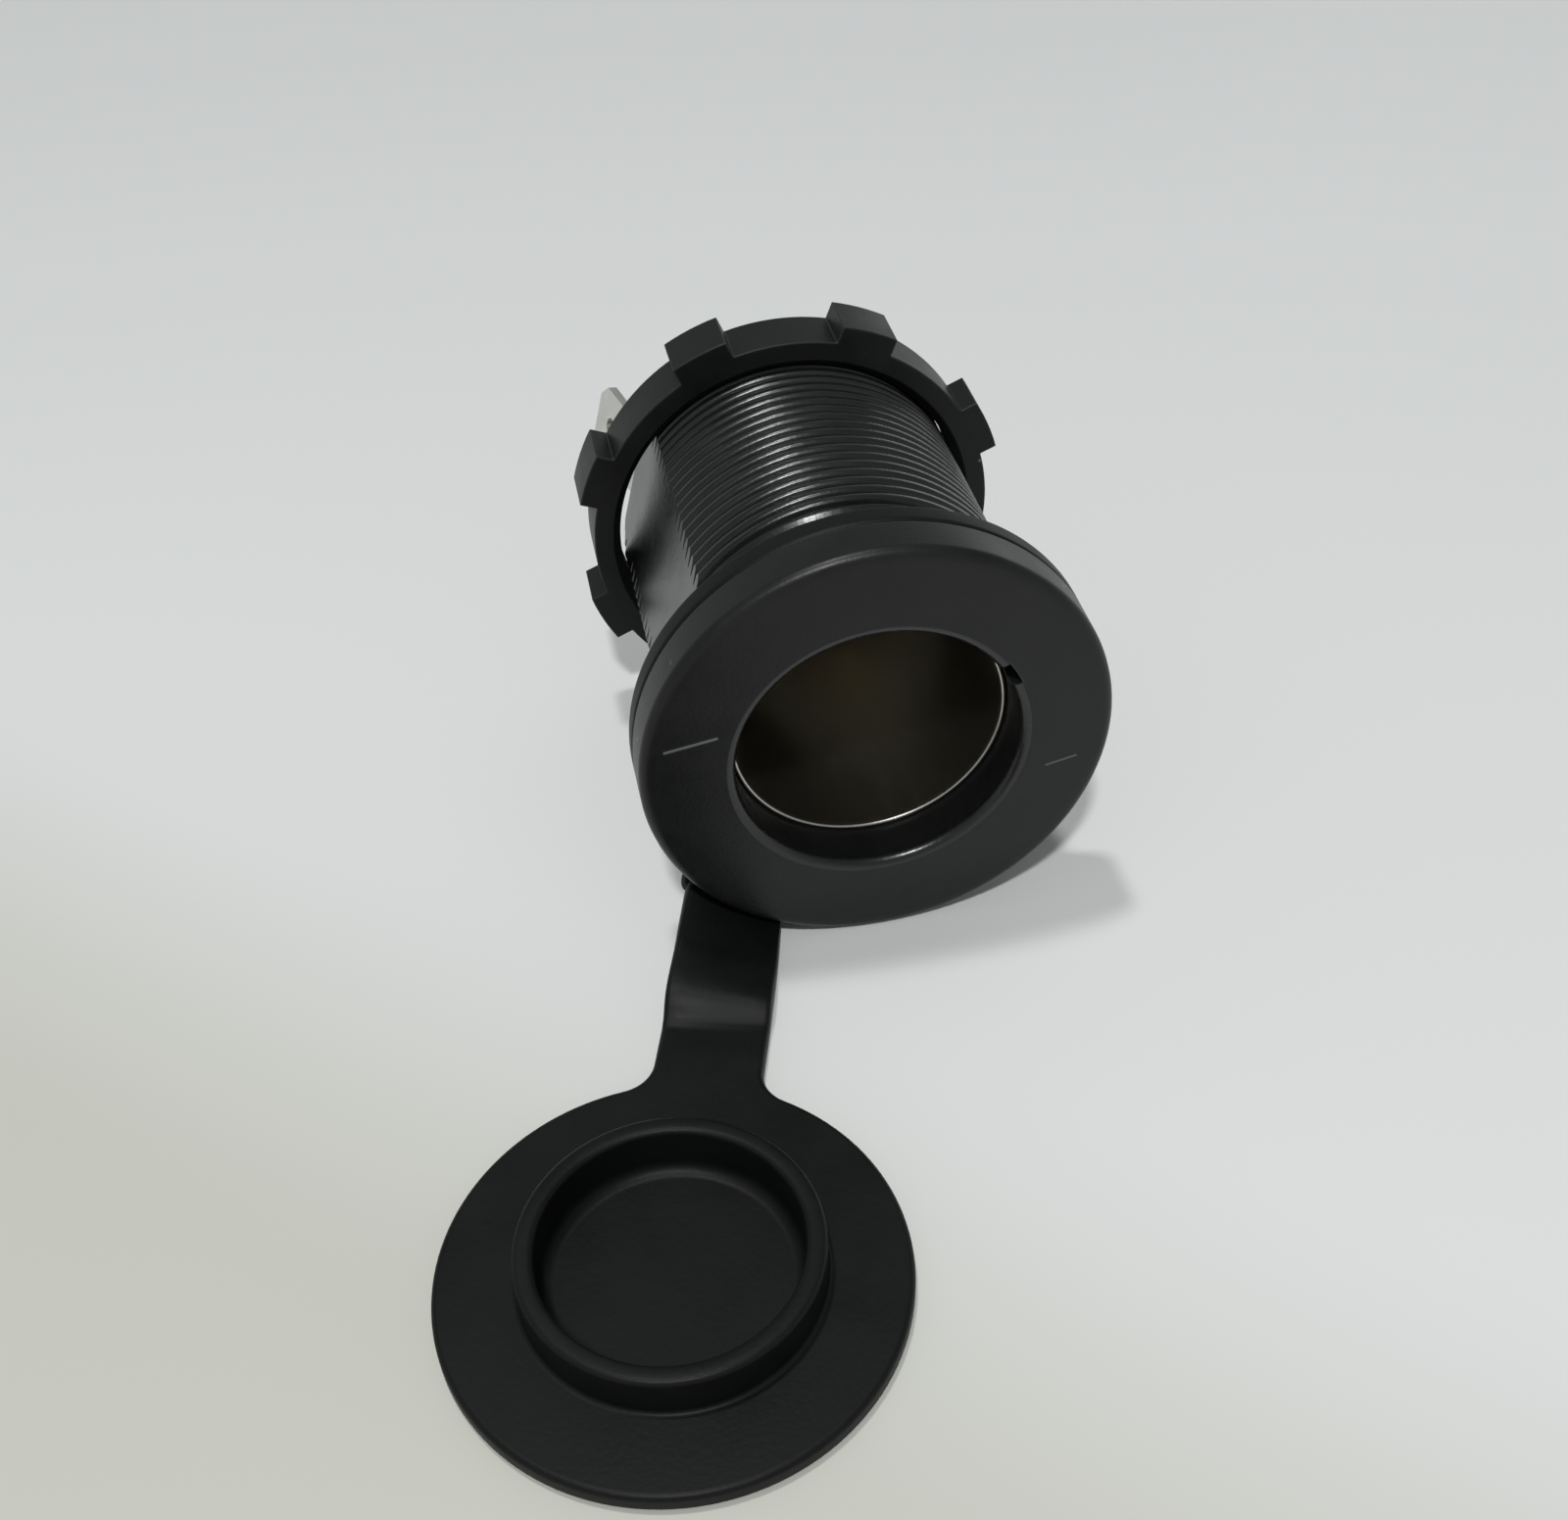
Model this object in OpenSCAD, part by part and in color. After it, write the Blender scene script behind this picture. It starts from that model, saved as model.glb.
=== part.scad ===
// 12 V power socket for a panel: a threaded moulded housing with a contact
// sleeve inside, a castellated ring nut behind, and a rubber cap on a strap.
// Millimetres. The socket's axis runs along Y: the mouth looks towards -Y and
// the terminals towards +Y. The origin is on the axis, in the plane where the
// gasket seats on the panel. The part lies on its flange rim and nut lugs.
// Angles round the axis are seen from the mouth: 0 is +X and 90 is +Z.

/* [Flange] */
// How far the flange stands out past the barrel
flange_over = 3.35; // [2.8:0.05:5]
// Thickness of the flange
flange_t = 3.9; // [3.5:0.1:5]
// Radius on the flange's front edge
flange_edge = 0.8; // [0.4:0.1:1.2]
// Width of the bevel round the mouth
mouth_bevel = 0.8; // [0.4:0.1:1.2]
// Width of the keyway in the mouth
keyway_w = 2.3; // [1.6:0.1:3]
// Depth of the keyway outside the bore
keyway_depth = 0.9; // [0.5:0.1:1.2]
// Angle of the keyway round the axis
keyway_turn = 29; // [10:1:60]

/* [Barrel] */
// Thickness of the barrel's round wall
barrel_wall = 4.1; // [3.4:0.1:5]
// Length of the plain collar before the thread
collar_l = 4.3; // [3:0.1:6]
// Width of the relief groove behind the collar
relief_w = 0.9; // [0.6:0.1:1.6]
// Distance from one turn of the thread to the next
thread_pitch = 1.25; // [1:0.05:1.75]
// Depth of the thread
thread_depth = 0.6; // [0.4:0.05:0.7]
// Size of the bevel at the barrel's end
end_bevel = 0.9; // [0.5:0.1:1.2]
// Length of the barrel behind the panel's front
barrel_l = 33; // [32.8:0.1:38]
// Depth of the two flats in the barrel's wall
flat_depth = 1.65; // [1:0.05:2.2]
// Direction that the first flat faces
flat_turn = 165; // [150:1:175]
// Thickness of the barrel's closed end
base_t = 2.6; // [2:0.1:3.4]

/* [Contact sleeve] */
// Inner diameter of the sleeve
sleeve_d = 21.5; // [21.2:0.1:21.8]
// Thickness of the sleeve's metal
sleeve_wall = 0.35; // [0.25:0.05:0.45]
// Room between the sleeve and the housing
sleeve_gap = 0.1; // [0.05:0.05:0.2]
// Distance from the flange's face down to the sleeve's edge
sleeve_recess = 4; // [3:0.1:6]
// Room between the sleeve's straight wall and the centre contact behind it
contact_room = 0.2; // [0.1:0.05:0.4]

/* [Centre contact] */
// Room between the insulating bush and the earth rivet
bush_room = 0.3; // [0.2:0.05:0.8]
// Thickness of the bush's collar
bush_t = 0.8; // [0.6:0.1:1.4]
// Diameter of the bush's neck
bush_neck_d = 5.2; // [4.4:0.1:6.4]
// How far the bush stands out past the contact disc
bush_lip = 0.6; // [0.4:0.1:1.4]
// Thickness of the contact disc
disc_t = 0.4; // [0.3:0.1:0.6]
// Diameter of the centre rivet's shank
rivet_d = 2.4; // [2:0.1:2.8]
// Diameter of the centre rivet's heads
rivet_head_d = 4; // [3.6:0.1:4.6]
// Height of the centre rivet's heads
rivet_head_h = 0.8; // [0.6:0.1:1.2]

/* [Terminals] */
// Width of the terminal blades
blade_w = 6.3; // [6.2:0.1:6.5]
// Thickness of the terminal blades
blade_t = 0.8; // [0.7:0.05:0.9]
// Straight length of the terminal blades
blade_l = 10.4; // [9:0.1:12]
// Diameter of the hole in the blades
blade_hole_d = 1.7; // [1.4:0.1:2]
// Distance from the blade's tip to its hole
blade_hole_in = 3; // [2.5:0.1:4]
// Size of the blade's cut corners
blade_corner = 1.2; // [0.8:0.1:1.6]
// Inner radius of the blade's bend
blade_bend = 0.6; // [0.4:0.1:0.8]
// Room between the earth rivet's head and the sleeve's rounded corner
earth_room = 0.05; // [0.05:0.05:0.4]
// Distance from the earth rivet to its blade's bend
earth_reach = 4.4; // [3.8:0.1:4.8]
// Angle at which the earth blade leans outwards
earth_lean = 15; // [0:1:18]
// Diameter of the earth rivet's shank
earth_rivet_d = 1.8; // [1.4:0.1:2]
// Diameter of the earth rivet's heads
earth_head_d = 3; // [2.8:0.1:3.4]
// Height of the earth rivet's heads
earth_head_h = 0.8; // [0.5:0.1:1]
// Distance from the centre rivet to its blade's bend
plus_reach = 3.4; // [3.2:0.1:5]

/* [Ring nut] */
// Thickness of the nut's ring
nut_wall = 2.38; // [1.7:0.02:2.5]
// Length of the nut along the axis
nut_l = 4.7; // [4:0.1:6]
// Distance from the panel's front to the nut
nut_y = 26.8; // [8:0.1:27.5]
// Width of a lug
lug_w = 5; // [4:0.1:6]
// Number of lugs
lug_n = 8; // [6, 8, 10]
// Room between the nut and the thread
nut_gap = 0.12; // [0.08:0.02:0.2]
// Depth of the grooves of the nut's own thread
nut_groove = 0.4; // [0.3:0.05:0.5]
// Width of the bevel at the nut's front
nut_bevel = 0.7; // [0.4:0.1:0.9]

/* [Gasket, strap and cap] */
// Thickness of the gasket
gasket_t = 2.1; // [1.6:0.1:2.6]
// Room between the gasket and the barrel
gasket_gap = 0.1; // [0.05:0.05:0.3]
// Width of the strap
strap_w = 8.4; // [7:0.1:8.8]
// Thickness of the strap
strap_t = 1.4; // [1:0.1:1.5]
// Angle from straight down to where the strap leaves the gasket
strap_turn = 37; // [36:1:42]
// Height of the fold in the strap
strap_hump = 0.9; // [0:0.1:1.5]
// Distance from the flange's rim to the cap's edge
strap_l = 20.16; // [18:0.01:26]
// Angle at which the strap lies to the left of straight ahead
strap_swing = 17.5; // [14:0.5:21]
// Width of the cap's brim outside its plug
cap_brim = 5.9; // [4:0.1:7]
// Thickness of the cap's disc
cap_t = 1.6; // [1.4:0.1:2.4]
// How much larger than the sleeve the cap's plug is, to hold in it
plug_squeeze = 0.05; // [0:0.01:0.15]
// Height of the plug above the disc
plug_h = 3.4; // [3.2:0.1:5]
// Thickness of the plug's wall
plug_wall = 1.5; // [1:0.1:2]
// Thickness of the floor inside the plug
plug_floor = 0.8; // [0.6:0.1:1.2]

/* [Hidden] */
$fn = 96;
eps = 0.01;
arc_n = 5;

// Moulded and metal colours
plastic = "#1d1f1f";
rubber = "#18191a";
nickel = "#c9c8c3";
brass = "#b9a267";
fibre = "#6a4a33";

// The bore and the sleeve in it
face_y = -flange_t - gasket_t;
sleeve_r = sleeve_d / 2;
bore_r = sleeve_r + sleeve_wall + sleeve_gap;
base_y = barrel_l - base_t;
sleeve_y = face_y + sleeve_recess;
sleeve_corner = bush_t + disc_t + rivet_head_h + contact_room;
sleeve_floor_y = base_y - sleeve_wall;

// The barrel and the flange, whose rim lies on the table
thread_r = bore_r + barrel_wall;
root_r = thread_r - thread_depth;
thread_flank = thread_depth * tan(30);
thread_crest = 0.2;
thread_from = collar_l + relief_w;
thread_n = floor((barrel_l - end_bevel - thread_from) / thread_pitch);
flange_r = thread_r + flange_over;
flange_back_r = 0.3;
table_z = -flange_r;

// The earth rivet stands at the edge of the sleeve's flat floor, and the centre
// contact fills the room that it leaves
rivet_gap = 0.05;
earth_out = sleeve_r - sleeve_corner - earth_room - earth_head_d / 2;
bush_r = earth_out - earth_head_d / 2 - bush_room;
disc_r = bush_r - bush_lip;
bush_y = sleeve_floor_y - bush_t;
disc_y = bush_y - disc_t;
rear_y = barrel_l + blade_t;
disc_dish = 0.35;
disc_flat = 0.2;
disc_rim = 0.4;
foot_end = 0.4;

// The nut: with two lugs down, these reach the table as the flange's rim does
nut_bore_r = thread_r + nut_gap;
nut_r = nut_bore_r + nut_wall;
nut_chamfer = 0.35;
lug_first = 180 / lug_n;
lug_mid = (flange_r - lug_w / 2 * sin(lug_first)) / cos(lug_first);
lug_r = norm([lug_mid, lug_w / 2]);
lug_in = 1;
nut_first = 0.2;
nut_flank = nut_groove * tan(30);
nut_turns = floor((nut_l - nut_bevel - nut_first - nut_chamfer) / thread_pitch);

// The strap from the gasket's tab to the cap's neck
gasket_edge = 0.45;
tab_l = 0.8;
tab_in = 1;
strap_edge = 0.35;
strap_low = table_z + strap_t / 2;
strap_root = flange_r + tab_l;
strap_head = strap_swing;
strap_run = 11.4;
root_pull = 2.2;
land_pull = 3;
cap_neck = 2.2;
cap_neck_in = 2;
cap_fillet = 3;
cap_edge = 0.45;
plug_r = sleeve_r + plug_squeeze;
cap_r = plug_r + cap_brim;
plug_edge = 0.4;
cup_fillet = 1;
bend_n = 12;
flat_n = 10;

// Points of an arc in a plane
function arc(c, r, from, to, n = arc_n) =
    [for (i = [0:n]) let (a = from + (to - from) * i / n) c + r * [cos(a), sin(a)]];

function mix(a, b, t) = a + (b - a) * t;
function ease(t) = t * t * (3 - 2 * t);

// A solid of revolution about the socket's axis, from [radius, y] points
module turned(points) rotate([-90, 0, 0]) rotate_extrude() polygon(points);

// A cylinder along the socket's axis
module post(r, y0, y1) translate([0, y0, 0]) rotate([-90, 0, 0]) cylinder(r = r, h = y1 - y0);

// Turns what points along +X to an angle round the socket's axis
module at_turn(a) rotate([0, -a, 0]) children();

// A rivet along Y with a domed front head and a peened rear head
module rivet(shank_r, head_r, head_h, y0, y1) {
    dome = (head_r * head_r + head_h * head_h) / (2 * head_h);
    half = asin(head_r / dome);
    turned(concat(
        arc([0, y0 - head_h + dome], dome, -90, -90 + half, 6),
        [[shank_r, y0], [shank_r, y1]],
        arc([head_r - head_h / 2, y1 + head_h / 2], head_h / 2, -90, 90, 4),
        [[0, y1 + head_h]]
    ));
}

// One turn of the thread: a flat crest between 60 degree flanks
function ridge_at(y) = [
    [root_r, y],
    [thread_r, y + thread_flank],
    [thread_r, y + thread_flank + thread_crest],
    [root_r, y + 2 * thread_flank + thread_crest]
];

// Flange and barrel. The thread's turns stand here as rings, which have the same
// section as the winding and need no start or end.
module housing_outside() {
    turned(concat(
        [[0, face_y]],
        arc([flange_r - flange_edge, face_y + flange_edge], flange_edge, -90, 0),
        arc([flange_r - flange_back_r, -gasket_t - flange_back_r], flange_back_r, 0, 90, 3),
        [
            [thread_r, -gasket_t], [thread_r, collar_l - thread_flank], [root_r, collar_l]
        ],
        [for (i = [0:thread_n - 1]) each ridge_at(thread_from + i * thread_pitch)],
        [[root_r, barrel_l - end_bevel], [thread_r - end_bevel, barrel_l], [0, barrel_l]]
    ));
}

// What the two flats take off the barrel
module flat_cuts() {
    for (side = [0, 180])
        at_turn(flat_turn + side)
            translate([thread_r - flat_depth, 0, -thread_r])
                cube([thread_r, barrel_l + eps, 2 * thread_r]);
}

module keyway_cut() {
    at_turn(keyway_turn)
        translate([0, face_y - eps, -keyway_w / 2])
            cube([bore_r + keyway_depth, sleeve_recess + eps, keyway_w]);
}

module housing() {
    color(plastic)
        difference() {
            housing_outside();
            flat_cuts();
            post(bore_r, face_y - eps, base_y);
            turned([
                [0, face_y - eps],
                [bore_r + mouth_bevel + eps, face_y - eps],
                [bore_r, face_y + mouth_bevel],
                [0, face_y + mouth_bevel]
            ]);
            keyway_cut();
            post(rivet_d / 2 + rivet_gap, base_y - eps, barrel_l + eps);
            at_turn(flat_turn)
                translate([earth_out, 0, 0])
                    post(earth_rivet_d / 2 + rivet_gap, base_y - eps, barrel_l + eps);
        }
}

// A drawn cup: a thin wall with a rounded lip, a corner radius and a floor
module contact_sleeve() {
    outer_r = sleeve_r + sleeve_wall;
    outer_corner = sleeve_corner + sleeve_wall;
    lip = sleeve_wall / 2;
    color(nickel)
        difference() {
            turned(concat(
                arc([sleeve_r + lip, sleeve_y + lip], lip, -180, 0, 4),
                arc([outer_r - outer_corner, base_y - outer_corner], outer_corner, 0, 90),
                [[0, base_y], [0, sleeve_floor_y]],
                arc([sleeve_r - sleeve_corner, sleeve_floor_y - sleeve_corner], sleeve_corner, 90, 0)
            ));
            post(bush_neck_d / 2 + rivet_gap, sleeve_floor_y - eps, base_y + eps);
            at_turn(flat_turn)
                translate([earth_out, 0, 0])
                    post(earth_rivet_d / 2 + rivet_gap, sleeve_floor_y - eps, base_y + eps);
        }
}

module insulating_bush() {
    color(fibre)
        difference() {
            union() {
                post(bush_r, bush_y, sleeve_floor_y);
                post(bush_neck_d / 2, bush_y, base_y);
            }
            post(rivet_d / 2 + rivet_gap, bush_y - eps, base_y + eps);
        }
}

// A stamped disc with a dished rim
module contact_disc() {
    hole_r = rivet_d / 2 + rivet_gap;
    step_r = rivet_head_d / 2 + disc_flat;
    color(nickel)
        turned([
            [hole_r, disc_y],
            [step_r, disc_y],
            [disc_r - disc_rim, disc_y - disc_dish],
            [disc_r, disc_y - disc_dish],
            [disc_r, disc_y - disc_dish + disc_t],
            [disc_r - disc_rim, disc_y - disc_dish + disc_t],
            [step_r, disc_y + disc_t],
            [hole_r, disc_y + disc_t]
        ]);
}

module centre_rivet() {
    color(brass) rivet(rivet_d / 2, rivet_head_d / 2, rivet_head_h, disc_y, rear_y);
}

module earth_rivet() {
    color(nickel)
        at_turn(flat_turn)
            translate([earth_out, 0, 0])
                rivet(earth_rivet_d / 2, earth_head_d / 2, earth_head_h, sleeve_floor_y, rear_y);
}

// A blade terminal in its own plane: a foot on the barrel's end from x0 to the
// bend at x1, and a blade that leans outwards from straight back
module blade_terminal(x0, x1, hole_x, hole_r, lean) {
    turn = 90 - lean;
    along = [sin(lean), cos(lean)];
    inner = blade_bend;
    centre = [x1, rear_y + inner];
    outer_end = centre + (inner + blade_t) * [sin(turn), -cos(turn)] + blade_l * along;
    inner_end = outer_end - blade_t * [along.y, -along.x];
    difference() {
        translate([0, 0, -blade_w / 2])
            linear_extrude(blade_w)
                polygon(concat(
                    [[x0, barrel_l]],
                    arc(centre, inner + blade_t, -90, -90 + turn),
                    [outer_end, inner_end],
                    arc(centre, inner, -90 + turn, -90),
                    [[x0, rear_y]]
                ));
        translate([hole_x, 0, 0]) post(hole_r, barrel_l - eps, rear_y + eps);
        translate([outer_end.x, outer_end.y, 0])
            rotate([0, 0, -lean]) {
                translate([-blade_t - eps, -blade_hole_in, 0])
                    rotate([0, 90, 0])
                        cylinder(d = blade_hole_d, h = blade_t + 2 * eps);
                for (side = [-1, 1])
                    translate([-blade_t - eps, 0, side * blade_w / 2])
                        rotate([45, 0, 0])
                            translate([0, -blade_corner / sqrt(2), -blade_corner / sqrt(2)])
                                cube([blade_t + 2 * eps, sqrt(2) * blade_corner, sqrt(2) * blade_corner]);
            }
    }
}

module positive_terminal() {
    color(brass)
        at_turn(flat_turn + 180)
            blade_terminal(-rivet_head_d / 2 - foot_end, plus_reach, 0, rivet_d / 2 + rivet_gap, 0);
}

module earth_terminal() {
    color(nickel)
        at_turn(flat_turn)
            blade_terminal(
                earth_out - earth_head_d / 2 - foot_end, earth_out + earth_reach,
                earth_out, earth_rivet_d / 2 + rivet_gap, earth_lean
            );
}

// One groove of the nut's thread, a ring as the barrel's turns are
module nut_groove_at(y)
    turned([
        [nut_bore_r - nut_gap, y], [nut_bore_r, y], [nut_bore_r + nut_groove, y + nut_flank],
        [nut_bore_r + nut_groove, y + nut_flank + thread_crest],
        [nut_bore_r, y + 2 * nut_flank + thread_crest], [nut_bore_r - nut_gap, y + 2 * nut_flank + thread_crest]
    ]);

// A castellated ring: its lugs have a round tip and run its whole length
module ring_nut() {
    back = nut_y + nut_l;
    color(plastic)
        difference() {
            union() {
                turned([
                    [nut_bore_r, nut_y], [nut_r - nut_chamfer, nut_y], [nut_r, nut_y + nut_chamfer],
                    [nut_r, back - nut_chamfer], [nut_r - nut_chamfer, back], [nut_bore_r, back]
                ]);
                intersection() {
                    for (i = [0:lug_n - 1])
                        at_turn(lug_first + i * 360 / lug_n)
                            translate([nut_bore_r + lug_in, nut_y, -lug_w / 2])
                                cube([lug_r, nut_l, lug_w]);
                    turned([
                        [nut_bore_r, nut_y], [lug_r - nut_chamfer, nut_y], [lug_r, nut_y + nut_chamfer],
                        [lug_r, back - nut_chamfer], [lug_r - nut_chamfer, back], [nut_bore_r, back]
                    ]);
                }
            }
            turned([
                [0, nut_y - eps], [nut_bore_r + nut_bevel + eps, nut_y - eps],
                [nut_bore_r, nut_y + nut_bevel], [0, nut_y + nut_bevel]
            ]);
            post(nut_bore_r, nut_y - eps, back + eps);
            for (i = [0:nut_turns - 1]) nut_groove_at(nut_y + nut_bevel + nut_first + i * thread_pitch);
        }
}

// The sealing ring, with the short tab that the strap grows from
module gasket_ring() {
    inner_r = thread_r + gasket_gap;
    color(rubber)
        difference() {
            union() {
                turned(concat(
                    [[inner_r, -gasket_t]],
                    arc([flange_r - gasket_edge, -gasket_t + gasket_edge], gasket_edge, -90, 0, 4),
                    arc([flange_r - gasket_edge, -gasket_edge], gasket_edge, 0, 90, 4),
                    [[inner_r, 0]]
                ));
                at_turn(-90 - strap_turn)
                    translate([inner_r + tab_in, -gasket_t / 2 - strap_t / 2, -strap_w / 2])
                        cube([strap_root - inner_r - tab_in, strap_t, strap_w]);
            }
            post(inner_r, -gasket_t - eps, eps);
        }
}

// The strap's middle line: a bend from the tab down to the table, then a
// straight run to the cap's neck with one shallow fold in it
head_dir = [-sin(strap_head), -cos(strap_head), 0];
root_dir = [-sin(strap_turn), 0, -cos(strap_turn)];
root_at = strap_root * root_dir + [0, -gasket_t / 2, 0];
cap_at = [root_at.x + tab_l * sin(strap_turn), root_at.y, table_z] + (strap_l + cap_r) * head_dir;
neck_at = cap_at - (cap_r + cap_neck) * head_dir + [0, 0, strap_t / 2];
land_at = neck_at - strap_run * head_dir;

function bend_point(t) =
    let (b = root_at + root_pull * root_dir, c = land_at - land_pull * head_dir)
    pow(1 - t, 3) * root_at + 3 * t * pow(1 - t, 2) * b + 3 * t * t * (1 - t) * c + t * t * t * land_at;

function run_point(t) =
    mix(land_at, neck_at, t) + [0, 0, strap_hump * pow(sin(180 * t), 2)];

strap_line = concat(
    [for (i = [0:bend_n]) bend_point(i / bend_n)],
    [for (i = [1:flat_n]) run_point(i / flat_n)]
);
strap_last = len(strap_line) - 1;

function unit(v) = v / norm(v);

function strap_along(i) =
    i == 0 ? root_dir :
    i == strap_last ? head_dir :
    unit(strap_line[i + 1] - strap_line[i - 1]);

// The strap rolls flat as it comes down, so that its low edge stays on the table
function strap_roll(i) =
    i == 0 ? strap_turn :
    i >= bend_n ? 0 :
    min(strap_turn, asin(min(1, max(0, (strap_line[i].z - strap_low) / (strap_w / 2)))));

function strap_across(i) =
    let (
        turn = strap_head * ease(min(1, i / bend_n)),
        roll = strap_roll(i),
        w = [cos(turn) * cos(roll), -sin(turn) * cos(roll), -sin(roll)],
        along = strap_along(i)
    )
    unit(w - (w * along) * along);

// A flat section with bevelled edges
strap_section = let (w = strap_w / 2, t = strap_t / 2, e = strap_edge) [
    [w - e, -t], [w, -t + e], [w, t - e], [w - e, t],
    [-w + e, t], [-w, t - e], [-w, -t + e], [-w + e, -t]
];

module cap_strap() {
    sides = len(strap_section);
    points = [
        for (i = [0:strap_last])
            let (across = strap_across(i), up = cross(across, strap_along(i)))
                for (q = strap_section) strap_line[i] + q.x * across - q.y * up
    ];
    walls = [
        for (i = [0:strap_last - 1]) for (j = [0:sides - 1])
            let (a = i * sides, b = a + sides, k = (j + 1) % sides)
                each [[a + j, a + k, b + k], [a + j, b + k, b + j]]
    ];
    ends = [
        [for (j = [sides - 1:-1:0]) j],
        [for (j = [0:sides - 1]) strap_last * sides + j]
    ];
    color(rubber) polyhedron(points, concat(walls, ends));
}

// The neck that joins the cap's disc to the strap, with a fillet on each side
module cap_neck_plan() {
    half = strap_w / 2;
    out_r = cap_r + cap_fillet;
    fillet_y = sqrt(out_r * out_r - pow(half + cap_fillet, 2));
    touch = cap_r / out_r * [half + cap_fillet, fillet_y];
    difference() {
        polygon([
            [-touch.x, touch.y - cap_neck_in], [touch.x, touch.y - cap_neck_in], touch, [half, fillet_y],
            [half, cap_r + cap_neck], [-half, cap_r + cap_neck], [-half, fillet_y], [-touch.x, touch.y]
        ]);
        for (side = [-1, 1]) translate([side * (half + cap_fillet), fillet_y]) circle(cap_fillet);
    }
}

// The cap lies open on its outer face, with its plug upwards
module cap() {
    cup_r = plug_r - plug_wall;
    top = cap_t + plug_h;
    color(rubber)
        translate(cap_at)
            rotate([0, 0, -strap_head]) {
                rotate_extrude()
                    polygon(concat(
                        [[0, 0]],
                        arc([cap_r - cap_edge, cap_edge], cap_edge, -90, 0, 4),
                        arc([cap_r - cap_edge, cap_t - cap_edge], cap_edge, 0, 90, 4),
                        [[plug_r, cap_t]],
                        arc([plug_r - plug_edge, top - plug_edge], plug_edge, 0, 90, 4),
                        arc([cup_r + plug_edge, top - plug_edge], plug_edge, 90, 180, 4),
                        arc([cup_r - cup_fillet, plug_floor + cup_fillet], cup_fillet, 0, -90, 4),
                        [[0, plug_floor]]
                    ));
                linear_extrude(strap_t) cap_neck_plan();
            }
}

housing();
contact_sleeve();
insulating_bush();
contact_disc();
centre_rivet();
positive_terminal();
earth_terminal();
earth_rivet();
ring_nut();
gasket_ring();
cap_strap();
cap();
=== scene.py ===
# A 12 V power socket for a panel, lying open on a pale table. Its axis runs along
# Y with the mouth towards -Y, and its angles are seen from the mouth: 0 is +X and
# 90 is +Z. Sizes are in millimetres, and the meshes, the camera and the lamps in metres.
import math
import bmesh
import bpy
from mathutils import Matrix, Vector


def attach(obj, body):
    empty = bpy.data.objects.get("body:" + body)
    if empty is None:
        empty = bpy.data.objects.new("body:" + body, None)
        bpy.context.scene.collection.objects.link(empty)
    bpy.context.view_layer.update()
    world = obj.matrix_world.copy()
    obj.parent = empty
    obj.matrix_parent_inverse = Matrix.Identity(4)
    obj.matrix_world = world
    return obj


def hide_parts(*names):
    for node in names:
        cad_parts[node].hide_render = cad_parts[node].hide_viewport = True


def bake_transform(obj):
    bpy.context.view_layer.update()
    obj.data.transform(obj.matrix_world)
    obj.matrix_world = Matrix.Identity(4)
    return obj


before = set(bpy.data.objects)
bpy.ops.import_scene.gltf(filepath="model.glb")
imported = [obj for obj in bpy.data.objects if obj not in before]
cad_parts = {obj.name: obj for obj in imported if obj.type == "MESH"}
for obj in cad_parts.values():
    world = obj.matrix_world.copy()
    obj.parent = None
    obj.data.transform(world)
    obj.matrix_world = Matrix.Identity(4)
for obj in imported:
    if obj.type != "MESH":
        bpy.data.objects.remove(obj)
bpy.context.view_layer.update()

# Camera: the photograph looks down at the mouth from its left, at about the
# height of a hand-held phone. The real socket is round, so the view is not narrowed.
camera_data = bpy.data.cameras.new("phone_camera")
camera_data.sensor_width = 36
camera_data.lens = 43.59
camera_data.clip_start = 0.01
camera = bpy.data.objects.new("phone_camera", camera_data)
right = Vector((0.9786, -0.2021, -0.0379))
back = Vector((-0.129, -0.7473, 0.6518)).normalized()
up = back.cross(right).normalized()
right = up.cross(back)
camera_turn = Matrix((right, up, back)).transposed().to_4x4()
camera.matrix_world = Matrix.Translation((-0.026087, -0.113344, 0.094691)) @ camera_turn
bpy.context.collection.objects.link(camera)
bpy.context.scene.camera = camera
bpy.context.scene.view_settings.view_transform = "Standard"


# Table: a smooth pale grey laminate top. Its colour is painted a little warmer and
# darker towards the near left corner, a painted shade, as the photograph's table does.
def linear(hex_colour):
    """An sRGB hex colour as linear red, green, blue and full alpha."""
    parts = [int(hex_colour[i:i + 2], 16) / 255 for i in (1, 3, 5)]
    return [c / 12.92 if c <= 0.04045 else ((c + 0.055) / 1.055) ** 2.4 for c in parts] + [1]


def add_node(tree, kind, settings=None, links=None):
    """Adds a node. Settings are its properties, the values of its inputs by name or
    number, or a ramp's stops. Links join its inputs to other nodes' outputs."""
    node = tree.nodes.new(kind)
    for name, value in (settings or {}).items():
        if name == "stops":
            for stop, (position, colour) in zip(node.color_ramp.elements, value):
                stop.position = position
                stop.color = linear(colour)
        elif isinstance(name, int) or name in node.inputs:
            node.inputs[name].default_value = value
        else:
            setattr(node, name, value)
    for name, socket in (links or {}).items():
        tree.links.new(socket, node.inputs[name])
    return node


def new_material(name, **values):
    """A Principled material with fixed values on its shader's own sockets, and its
    node tree, its shader and the place that its patterns read."""
    material = bpy.data.materials.new(name)
    material.use_nodes = True
    tree = material.node_tree
    shader = tree.nodes["Principled BSDF"]
    for socket, value in values.items():
        shader.inputs[socket.replace("_", " ")].default_value = value
    place = add_node(tree, "ShaderNodeTexCoord").outputs["Object"]
    return material, tree, shader, place


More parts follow.
